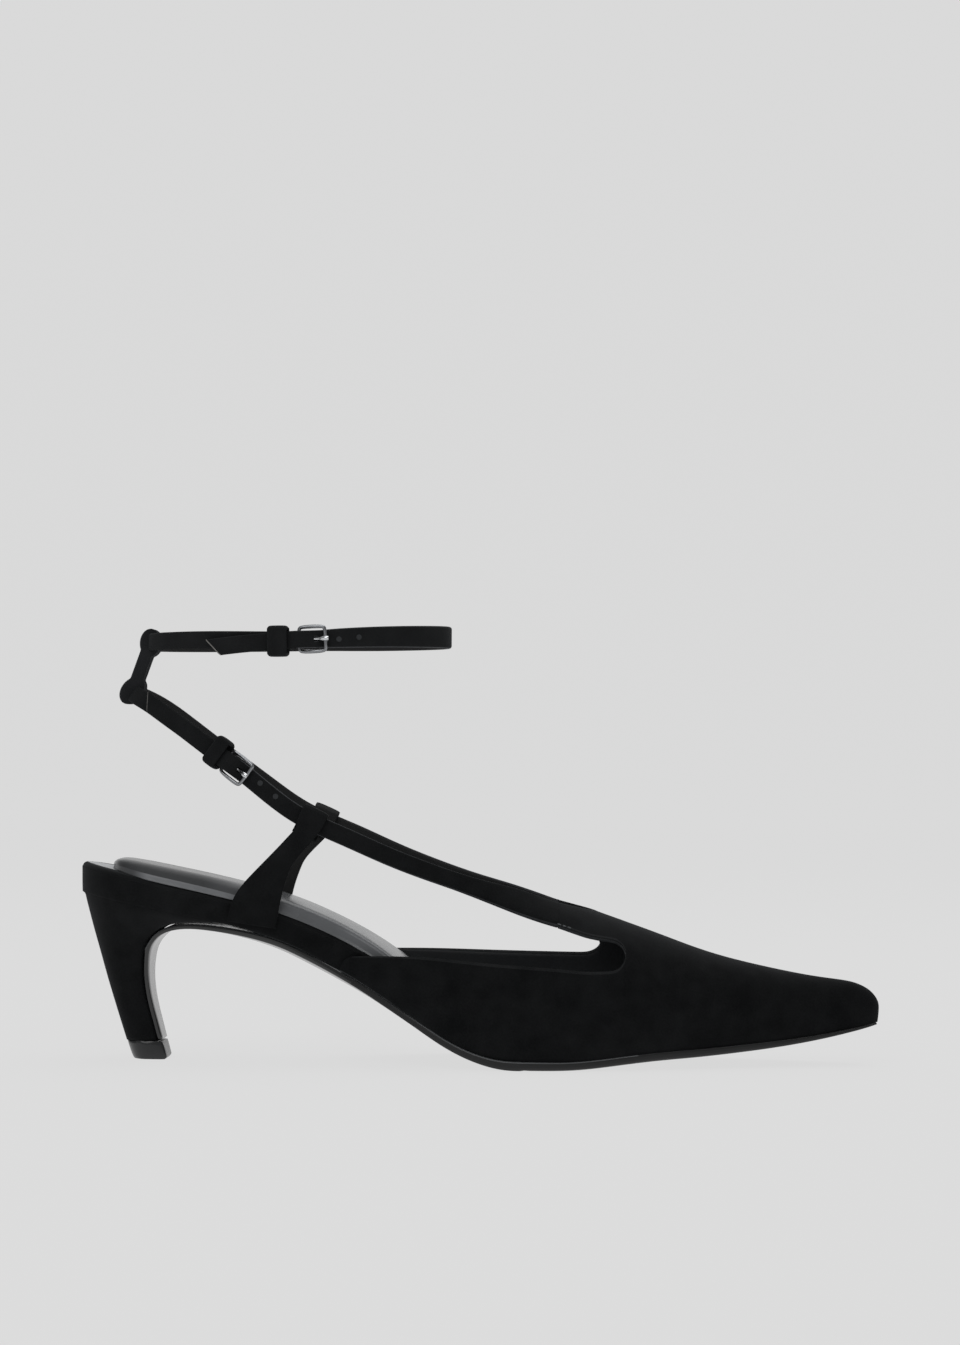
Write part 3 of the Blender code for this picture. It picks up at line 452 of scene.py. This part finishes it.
def folded(edge):
    """Whether an edge lies between the outer skin and a free rim."""
    on_skin = [face for face in edge.link_faces if face in skin]
    middle = (edge.verts[0].co + edge.verts[1].co) / 2
    near_sole = sole_surface.find_nearest(middle, SOLE_NEAR_MM * MM)[0]
    return (len(on_skin) == 1 and len(edge.link_faces) == 2 and middle.x > WING_END_X * MM
            and not at_root(edge) and not near_sole)


fold_edges = [edge for edge in bm.edges if folded(edge)]
print(len(fold_edges), "folded edges")

# %% [markdown]
# The fold itself is a narrow bevel, and its new faces take the paler finish: worn a little paler, and a
# painted highlight for the light that the rolled edge catches. The other sharp edges are creased, and the
# ends that the straps grow out of fully, so that strap and upper meet without a groove.

# %% Roll the edge and dress the upper
FOLD_MM = 0.26
bmesh.ops.bevel(bm, geom=fold_edges, offset=FOLD_MM * MM, segments=2, profile=0.5, affect="EDGES",
                material=WORN_AND_HIGHLIT_EDGE)
layer = crease(bm, SHARP_DEG, strength=0.75)
for edge in bm.edges:
    if at_root(edge):
        edge[layer], edge.smooth = 1.0, False
upper = dress("upper", bm, (SUEDE, LINING, FOLD))

# %% [markdown]
# At the root of each strap a few stitches hold the edge. A stitch is a small bead of thread, half sunk in
# the suede: a coarse sphere, stretched, and laid where a line from the side meets the upper.

# %% Stitch the roots of the straps
TACKS_MM = ((26.5, 45.9), (28.1, 45.4), (29.7, 44.9))
STITCH_MM, STITCH_LEAN = (0.7, 0.3, 0.24), math.radians(17)
BESIDE_MM = 100

bm = bmesh.new()
upper_surface = shape(upper)
for side in (-1, 1):
    for x, z in TACKS_MM:
        start = Vector((x, BESIDE_MM * side, z)) * MM
        spot, normal, _, _ = upper_surface.ray_cast(start, Vector((0, -side, 0)))
        run = Vector((math.cos(STITCH_LEAN), 0, -math.sin(STITCH_LEAN)))
        across = normal.cross(run).normalized()
        turn = Matrix((across.cross(normal), across, normal)).transposed().to_4x4()
        bmesh.ops.create_uvsphere(bm, u_segments=8, v_segments=6, radius=MM,
                                  matrix=Matrix.Translation(spot) @ turn @ Matrix.Diagonal((*STITCH_MM, 1)))
link("root_stitches", bm, (THREAD,))

# %% [markdown]
# ## Straps and stays
# A strap is suede outside and smooth leather inside, glued and cut, with its edges left a shade paler, which
# also paints the highlight that they catch, and its tail cut aslant, where the pale core shows. Which side is
# which follows from where the flat faces look: away from the foot, or towards it. Narrow bevels keep the paler
# edge and the slant cut in sight. The instep straps are pushed into the roots of the upper. The stays keep
# plain suede on their edges, so no pale line shows there. Along the back of the sling and the tail of the
# ankle strap the edges take a darker suede instead: a painted shade over the light that the top lamp throws
# on these upward edges.

# %% Sort the faces of a strap
FOOT_AXIS = Vector((-57, 0, 0)) * MM
STRAP_SHARP_DEG = 33
TAIL_LEAST_MM2, TAIL_MOST_MM2, TAIL_AFT, TAIL_ACROSS = 6.0, 14.0, -0.5, 0.8
FLAT = 0.4
# Behind these places along the shoe, the straps' edges take the darker suede, a painted shade.
SHADE_EDGE_X = {"outer_strap": -75.0, "sling_strap": -75.0, "ankle_strap": -58.0}


def outward(face):
    """How far a face looks away from the upright axis of the foot."""
    away = face.calc_center_median() - FOOT_AXIS
    away.z = 0
    return face.normal.dot(away.normalized())


def sort_strap(node, bm, has_tail):
    """Gives each region of a strap the finish that follows from where it looks."""
    for group in regions(bm, STRAP_SHARP_DEG):
        looks = sum(outward(face) * face.calc_area() for face in group) / area(group)
        aft = sum(face.normal.x * face.calc_area() for face in group) / area(group)
        cut = (has_tail and TAIL_LEAST_MM2 < area(group) / (MM * MM) < TAIL_MOST_MM2 and aft < TAIL_AFT
               and abs(looks) < TAIL_ACROSS)
        for face in group:
            face.material_index = CUT if cut else OUTSIDE if looks > FLAT else INSIDE if looks < -FLAT else WORN_AND_HIGHLIT_EDGE
            # On the stays the edges stay plain suede; on the straps, behind the listed place, they take the
            # painted shade.
            if face.material_index == WORN_AND_HIGHLIT_EDGE and node not in SHADE_EDGE_X:
                face.material_index = OUTSIDE
            elif face.material_index == WORN_AND_HIGHLIT_EDGE and face.calc_center_median().x < SHADE_EDGE_X[node] * MM:
                face.material_index = PAINTED_SHADE_EDGE


print("edges painted darker behind", ", ".join(f"{x} mm on the {node}" for node, x in SHADE_EDGE_X.items()))

# %% [markdown]
# The bevels come next, each with the finish of the edge that it widens. Then the creases are set: full round
# the slant cut and at the root, soft elsewhere.

# %% Dress the straps
ROOT_ZONE_X, ROOT_PUSH_MM = 25.5, 0.55
ARRIS_MM, CUT_MM = 0.22, 0.45


def between(bm, one, two):
    """Edges with one finish on the one side and the other finish on the other side."""
    return [edge for edge in bm.edges if {face.material_index for face in edge.link_faces} == {one, two}]


def in_root(vert):
    """Whether a corner belongs to the end that grows out of the upper."""
    return vert.co.x > ROOT_ZONE_X * MM


def dress_strap(node, has_tail):
    """A strap or stay with its finishes, bevels and creases."""
    bm = merged(node)
    sort_strap(node, bm, has_tail)
    for finish_at, offset in ((CUT, CUT_MM), (WORN_AND_HIGHLIT_EDGE, ARRIS_MM)):
        bmesh.ops.bevel(bm, geom=between(bm, OUTSIDE, finish_at), offset=offset * MM, segments=1, profile=0.5,
                        affect="EDGES", material=finish_at)
    layer = crease(bm, STRAP_SHARP_DEG, strength=0.5)
    for face in bm.faces:
        for edge in face.edges if face.material_index == CUT else ():
            edge[layer] = 1.0
    for edge in bm.edges:
        if all(in_root(vert) for vert in edge.verts):
            edge[layer], edge.smooth = 1.0, False
    root = [vert for vert in bm.verts if in_root(vert)]
    bmesh.ops.translate(bm, verts=root, vec=(ROOT_PUSH_MM * MM, 0, 0))
    return dress(node, bm, (SUEDE, BACKING, EDGE, RAW, SHADE_EDGE_SUEDE))


straps = {node: dress_strap(node, node in ("outer_strap", "ankle_strap"))
          for node in ("outer_strap", "sling_strap", "ankle_strap", "outer_stay", "inner_stay")}

# %% [markdown]
# ## Punched holes
# A punch leaves a clean hole whose rim stands up a little and whose core is paler than the nap. Each one
# is a disc with an inset, pressed in at its middle. It is laid where a line from the side meets the strap.

# %% Punch the holes
HOLES_MM = (("outer_strap", -69.4, 90.4), ("outer_strap", -64.4, 86.2), ("ankle_strap", -44.6, 136.6),
            ("ankle_strap", -38.3, 137.3))
HOLE_R_MM, HOLE_WALL_MM, STAND_MM, PRESS_MM = 0.9, 0.28, 0.12, 0.08
PUNCHED = leather("punched_leather_core", "#202224", "#34373a", 0.8, 0.5)

bm = bmesh.new()
for node, x, z in HOLES_MM:
    spot, normal, _, _ = shape(straps[node]).ray_cast(Vector((x, -BESIDE_MM, z)) * MM, Vector((0, 1, 0)))
    turn = normal.to_track_quat("Z", "Y").to_matrix().to_4x4()
    ring = bmesh.ops.create_circle(bm, cap_ends=True, segments=16, radius=HOLE_R_MM * MM,
                                   matrix=Matrix.Translation(spot + normal * STAND_MM * MM) @ turn)["verts"]
    disc = ring[0].link_faces[0]
    bmesh.ops.inset_region(bm, faces=[disc], thickness=HOLE_WALL_MM * MM, use_boundary=True)
    bmesh.ops.translate(bm, verts=disc.verts, vec=normal * -PRESS_MM * MM)
link("punched_holes", bm, (PUNCHED,))

# %% [markdown]
# ## Back tab
# A short strip of suede is folded round both straps and sewn through at its neck. From the side it looks
# like a bone: two round lobes with the straps inside them. So it starts from two cylinders and a block,
# which a voxel remesh fuses into one skin and a smooth pass softens. Then its edges are bent back, as the
# strip follows the round of the heel.

# %% Make the back tab
TAB_WIDE_MM, TAB_BOW_MM, VOXEL_MM = 8.0, 0.65, 0.28
LOBES = (((-114.2, 120.0), (3.5, 4.9), 37), ((-108.4, 135.7), (3.3, 4.6), 4))
NECK = ((-111.2, 128.0), (3.9, 11.0), 19.5)


def put(spot_mm, size_mm, lean):
    """Places a unit shape in the side view: its spot, its depth and height, and its lean in degrees."""
    (x, z), (deep, tall) = spot_mm, size_mm
    return (Matrix.Translation(Vector((x, 0, z)) * MM) @ Matrix.Rotation(math.radians(lean), 4, "Y")
            @ Matrix.Diagonal((deep * MM, TAB_WIDE_MM * MM, tall * MM, 1)))


bm = bmesh.new()
for lobe in LOBES:
    bmesh.ops.create_cone(bm, cap_ends=True, segments=32, radius1=1, radius2=1, depth=1,
                          matrix=put(*lobe) @ Matrix.Rotation(math.radians(90), 4, "X"))
bmesh.ops.create_cube(bm, size=1, matrix=put(*NECK))
# The tab takes the lighter copy of the suede: painted light.
tab = link("back_tab_dressed", bm, (TAB,))
fuse = tab.modifiers.new("fuse", "REMESH")
fuse.mode, fuse.voxel_size, fuse.use_smooth_shade = "VOXEL", VOXEL_MM * MM, True
soften = tab.modifiers.new("soften", "SMOOTH")
soften.factor, soften.iterations = 0.5, 6
bm = bmesh.new()
bm.from_object(tab, bpy.context.evaluated_depsgraph_get())
for vert in bm.verts:
    vert.co.x += TAB_BOW_MM * MM * (2 * vert.co.y / (TAB_WIDE_MM * MM)) ** 2
tab.modifiers.clear()
bm.to_mesh(tab.data)
bm.free()
tab.data.shade_smooth()
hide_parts("back_tab")
print("tab of", len(tab.data.polygons), "faces")

# %% [markdown]
# ## Keepers
# A keeper is a narrow ring of suede round strap and tail. Bevelled edges make it look rolled, not sawn.

# %% Dress the keepers
ROLL_MM, KEEPER_SHARP_DEG = 0.95, 40
for node in ("sling_keeper", "ankle_keeper"):
    bm = merged(node)
    sharp = [edge for edge in bm.edges if edge.calc_face_angle(0.0) > math.radians(KEEPER_SHARP_DEG)]
    bmesh.ops.bevel(bm, geom=sharp, offset=ROLL_MM * MM, segments=3, profile=0.5, affect="EDGES", material=-1)
    dress(node, bm, (SUEDE,), levels=1)

# %% [markdown]
# ## Footbed
# The footbed is a board whose edge is wrapped in suede and whose top is lined. The suede is rolled over the
# rim, which a bevel gives, and along the side the roll stands up a little as a lip.

# %% Dress the footbed
ROLL_END_X, RIM_ROLL_MM = -30.0, 1.8
LIP_START_X, LIP_FULL_X, LIP_MM = -118.0, -102.0, 0.85
LOOKS_UP, LOOKS_DOWN = 0.8, -0.5

bm = merged("footbed")
for face in bm.faces:
    face.material_index = INSIDE if face.normal.z > LOOKS_UP else OUTSIDE
rim = between(bm, OUTSIDE, INSIDE)
open_rim = [edge for edge in rim if all(vert.co.x < ROLL_END_X * MM for vert in edge.verts)]
bmesh.ops.bevel(bm, geom=open_rim, offset=RIM_ROLL_MM * MM, segments=3, profile=0.5, affect="EDGES",
                material=OUTSIDE)
for vert in {vert for edge in between(bm, OUTSIDE, INSIDE) for vert in edge.verts}:
    share = (vert.co.x / MM - LIP_START_X) / (LIP_FULL_X - LIP_START_X)
    vert.co.z += LIP_MM * MM * min(1.0, max(0.0, share))
settle(bm, "outsole", reach_mm=0.9, step_mm=(0, 0, -0.4))
layer = crease(bm, limit=40, strength=0.6)
for edge in bm.edges:
    if edge[layer] and min(face.normal.z for face in edge.link_faces) < LOOKS_DOWN:
        edge[layer] = 1.0
# The top takes the pale grey lining, painted lighter towards the back: a painted reflection of the pale room.
dress("footbed", bm, (SUEDE, HEEL_LINING))

# %% [markdown]
# ## Insole
# The padded insole lies inside the rim: foam under a smooth leather cover, with a sloping welt at its foot.
# The faces that share an edge with the underside make the welt. Its long upper edge is creased and the seams
# across it are not, so that it runs on smoothly. The rear end, which looks straight back, has none.

# %% Dress the insole
WELT_END_X, REAR_LOOKS = -65.0, -0.99
PADDED, WELTED = 0, 1

bm = merged("insole")
settle(bm, "footbed", reach_mm=0.6, step_mm=(0, 0, -0.5))
layer = crease(bm, SHARP_DEG, strength=0.3)
under = {vert for face in bm.faces if face.normal.z < LOOKS_DOWN for vert in face.verts}
welts = [face for face in bm.faces
         if face.normal.z > LOOKS_DOWN and sum(vert in under for vert in face.verts) > 1]
# Behind the given place the welt takes the paler finish, a painted reflection of the pale room that is painted
# darker at its rear end; further forward, and on the rear end, it keeps the cover's finish.
for face in welts:
    rear_end = face.normal.x < REAR_LOOKS
    has_welt = face.calc_center_median().x < WELT_END_X * MM and not rear_end
    face.material_index = WELTED if has_welt else PADDED
    for edge in face.edges:
        if all(vert in under for vert in edge.verts):
            edge[layer] = 1.0
        elif not rear_end and not all(other in welts for other in edge.link_faces):
            edge[layer] = max(edge[layer], 0.6)
insole = dress("insole", bm, (INSOLE, WELT))

# %% [markdown]
# ## Sole
# The sole is one strap of leather that runs from the toe along the arch and down the front of the heel.
# Its edges are cut square and inked, and the upper arris is a narrow bevel in a paler finish: a painted highlight
# along the edge, which gives way to ink towards the toe.

# %% Dress the sole
ARRIS_HIGHLIGHT_MM, ARRIS_HIGHLIGHT_END_X, INK_X = 0.4, 48.0, -40.0
ARRIS_DEG, ARRIS_LOOKS_UP, UPRIGHT = 45, 0.4, 0.5
HIGHLIT_ARRIS, INKED = 1, 2

bm = merged("outsole")
# The upper arris gets a narrow bevel in the paler finish, a painted highlight.
upper_arris = [edge for edge in bm.edges if edge.calc_face_angle(0.0) > math.radians(ARRIS_DEG)
               and max(face.normal.z for face in edge.link_faces) > ARRIS_LOOKS_UP]
bmesh.ops.bevel(bm, geom=upper_arris, offset=ARRIS_HIGHLIGHT_MM * MM, segments=1, profile=0.5, affect="EDGES",
                material=HIGHLIT_ARRIS)
# Towards the toe the painted highlight on the arris gives way to the ink.
for face in bm.faces:
    x = face.calc_center_median().x / MM
    arris_past_highlight = face.material_index == HIGHLIT_ARRIS and x > ARRIS_HIGHLIGHT_END_X
    if arris_past_highlight or (abs(face.normal.z) < UPRIGHT and x > INK_X):
        face.material_index = INKED
crease(bm, limit=30, strength=0.7)
dress("outsole", bm, (SOLE, ARRIS, INK))

# %% [markdown]
# ## Heel and tip
# The heel is a block wrapped in suede, glued under the footbed, on a rubber tip. The top of the heel is drawn
# out to the wall of the footbed, so that the suede runs on without a step: a ray from the heel's core finds
# the place on the wall.

# %% Dress the heel and its tip
HEEL_CORE_X, SEAT_REACH_MM, SEAT_STEP_MM = -104.0, 0.8, 0.4

bm = merged("heel")
for vert in bm.verts:
    if board.find_nearest(vert.co, SEAT_REACH_MM * MM)[0]:
        vert.co.z += SEAT_STEP_MM * MM
        core = Vector((HEEL_CORE_X * MM, 0, vert.co.z))
        wall = board.ray_cast(core, (vert.co - core).normalized())[0]
        if wall and (wall - vert.co).length < SEAT_REACH_MM * MM:
            vert.co = wall
crease(bm, SHARP_DEG, strength=1.0)
dress("heel", bm, (SUEDE,))

bm = merged("heel_tip")
settle(bm, "heel", reach_mm=0.6, step_mm=(0, 0, 0.35))
crease(bm, limit=35, strength=0.75)
dress("heel_tip", bm, (TIP,))

# %% [markdown]
# ## Buckles
# The wires of the frames and prongs are round already; a subdivision surface makes them smooth.

# %% Dress the buckles
for node in ("sling_buckle", "sling_prong", "ankle_buckle", "ankle_prong"):
    bm = merged(node)
    crease(bm, limit=70, strength=0.4)
    dress(node, bm, (BRIGHT if "prong" in node else NICKEL,))

# %% [markdown]
# ## Floor
# The photograph has a plain pale ground and no hard shadow. The ground is a sheet of paper that sweeps up
# into a wall. It glows, like a light table, and takes little light from the lamps, so only a faint shadow is
# left under the sole.

# %% Floor
FLOOR_M, WALL_M, SWEEP_M = 6.0, 8.0, 2.0

bm = bmesh.new()
bmesh.ops.create_grid(bm, x_segments=1, y_segments=1, size=FLOOR_M)
back = [edge for edge in bm.edges if all(vert.co.y > FLOOR_M / 2 for vert in edge.verts)]
wall = bmesh.ops.extrude_edge_only(bm, edges=back)["geom"]
bmesh.ops.translate(bm, verts=[v for v in wall if isinstance(v, bmesh.types.BMVert)], vec=(0, 0, WALL_M))
bmesh.ops.bevel(bm, geom=back, offset=SWEEP_M, segments=24, profile=0.5, affect="EDGES", material=-1)
floor_mesh = bpy.data.meshes.new("floor")
bm.to_mesh(floor_mesh)
bm.free()
floor_mesh.shade_smooth()
PAPER = finish("pale_paper", Base_Color=linear("#4a4a4a"), Roughness=1.0, Specular_IOR_Level=0.0,
               Emission_Color=linear("#dcdcdc"), Emission_Strength=0.94)[0]
floor_mesh.materials.append(PAPER)
floor = bpy.data.objects.new("floor", floor_mesh)
bpy.context.scene.collection.objects.link(floor)
print("floor of", len(floor_mesh.polygons), "faces")

# %% [markdown]
# ## Light
# The room is white and dim. A large lamp in front, high to the left, and one above and behind model the form.

# %% Light
ROOM_STRENGTH = 0.25
SHOE_MIDDLE = (0, 0, 0.05)

world = bpy.data.worlds.new("studio")
world.use_nodes = True
room = world.node_tree.nodes["Background"].inputs
room["Color"].default_value = (1, 1, 1, 1)
room["Strength"].default_value = ROOM_STRENGTH
bpy.context.scene.world = world


def softbox(name, place, size, watts):
    """A square lamp that looks at the shoe."""
    data = bpy.data.lights.new(name, "AREA")
    data.size, data.energy = size, watts
    lamp = bpy.data.objects.new(name, data)
    lamp.location = place
    lamp.rotation_euler = (Vector(SHOE_MIDDLE) - Vector(place)).to_track_quat("-Z", "Y").to_euler()
    bpy.context.scene.collection.objects.link(lamp)


softbox("key", place=(-0.5, -1.3, 1.5), size=1.2, watts=8)
softbox("top", place=(0.2, 0.4, 1.4), size=1.0, watts=6)
print("two softboxes and a white room")
